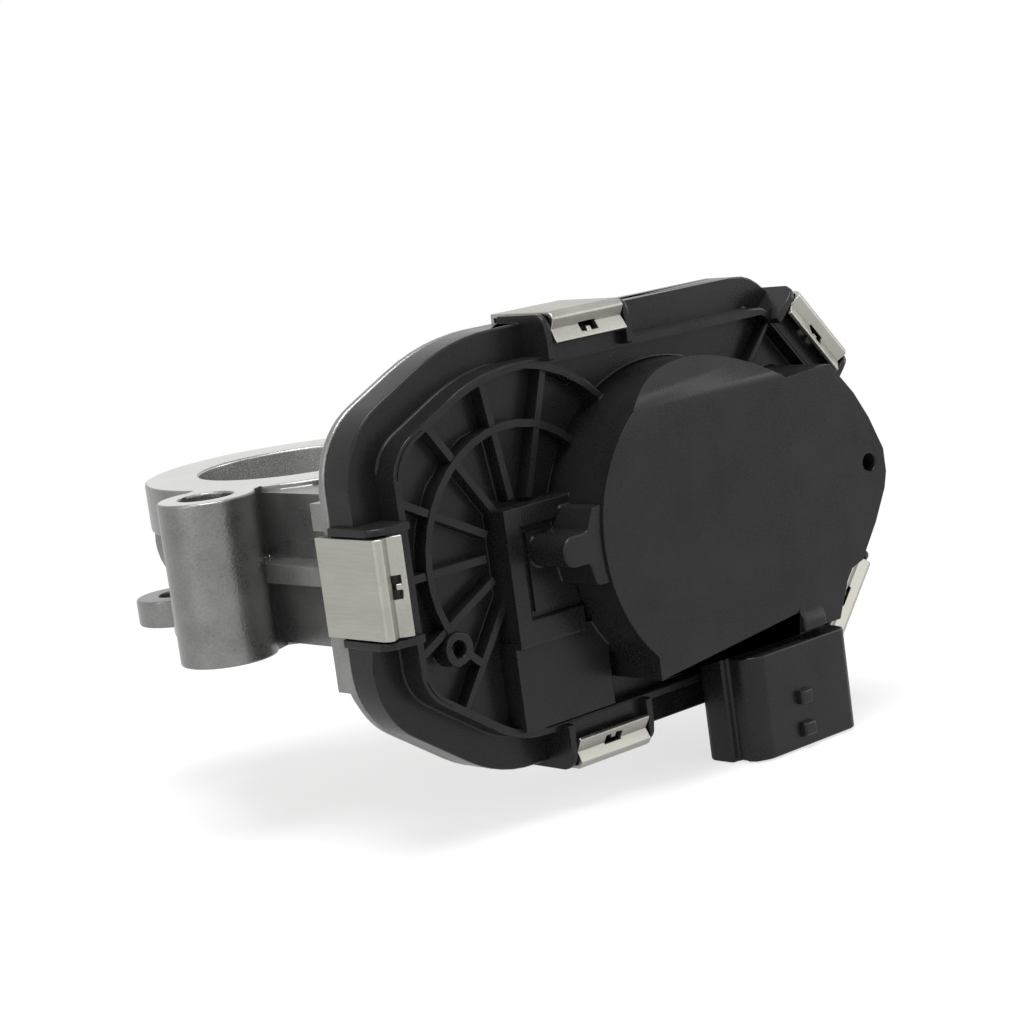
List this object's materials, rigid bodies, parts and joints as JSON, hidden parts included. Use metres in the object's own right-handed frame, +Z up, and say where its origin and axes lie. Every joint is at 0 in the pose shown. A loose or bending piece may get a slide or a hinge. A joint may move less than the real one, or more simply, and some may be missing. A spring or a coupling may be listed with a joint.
{
  "type": "electronic throttle body",
  "caption": "Cast aluminium throttle body with a butterfly valve across a round air bore, and a black plastic gear cover with a connector, held by spring clips.",
  "frame": {"origin": "on the air bore's axis, in the plane of the lower mounting face", "axes": "+Z up along the bore, Y along the throttle shaft with the cover on the -Y side, +X along the cover towards the motor"},
  "size_m": [0.1228, 0.1038, 0.0814],
  "materials": {
    "cast_aluminium": "cast, machined faces",
    "black_plastic": "moulded, satin",
    "spring_steel": "satin strip",
    "bright_steel": "ground",
    "black_rubber": "matte",
    "natural_nylon": "moulded",
    "brass": "plain",
    "ferrite": "sintered",
    "copper": "wound and laminated"
  },
  "bodies": {
    "body": {"throttle_housing": "cast_aluminium", "cover": "black_plastic", "cover_gasket": "black_rubber", "clip_left": "spring_steel", "clip_top": "spring_steel", "clip_bottom": "spring_steel", "clip_upper_right": "spring_steel", "clip_lower_right": "spring_steel", "connector_pin_1": "brass", "connector_pin_2": "brass", "connector_pin_3": "brass", "connector_pin_4": "brass", "connector_pin_5": "brass", "connector_pin_6": "brass", "sensor_board": "ferrite", "front_bearing": "bright_steel", "front_shaft_seal": "black_rubber", "rear_bearing": "bright_steel", "rear_shaft_seal": "black_rubber", "bearing_end_cap": "bright_steel", "return_spring": "spring_steel", "gear_pin": "bright_steel", "motor_can": "bright_steel", "motor_brush_carrier": "black_plastic", "motor_plate": "spring_steel", "wave_washer": "spring_steel", "motor_magnet_1": "ferrite", "motor_magnet_2": "ferrite", "motor_brush_1": "ferrite", "motor_brush_2": "ferrite", "motor_terminal_1": "brass", "motor_terminal_2": "brass", "motor_screw_1": "bright_steel", "motor_screw_2": "bright_steel"},
    "throttle": {"throttle_shaft": "bright_steel", "throttle_plate": "brass", "plate_screw_1": "bright_steel", "plate_screw_2": "bright_steel", "sector_gear": "natural_nylon", "sensor_magnet": "ferrite"},
    "intermediate": {"intermediate_gear": "natural_nylon"},
    "rotor": {"motor_armature": "copper", "motor_shaft": "bright_steel", "motor_pinion": "brass"}
  },
  "joints": [
    {"name": "throttle_turn", "type": "hinge", "parent": "body", "child": "throttle", "pos_m": [0, 0, 0.01375], "axis": [0, 1, 0], "range_deg": [0, 84], "stiffness_Nm_per_rad": 0.03, "springref_deg": -17.19},
    {"name": "intermediate_turn", "type": "hinge", "parent": "body", "child": "intermediate", "pos_m": [0.031, 0, 0.01375], "axis": [0, 1, 0], "range_deg": [-352, 2]},
    {"name": "motor_turn", "type": "hinge", "parent": "body", "child": "rotor", "pos_m": [0.0542, 0, 0.01375], "axis": [0, 1, 0], "range_deg": [-5, 1345]}
  ],
  "couplings": [
    {"joint": "intermediate_turn", "follows": "throttle_turn", "ratio": -4.1667},
    {"joint": "motor_turn", "follows": "throttle_turn", "ratio": 15.972}
  ]
}
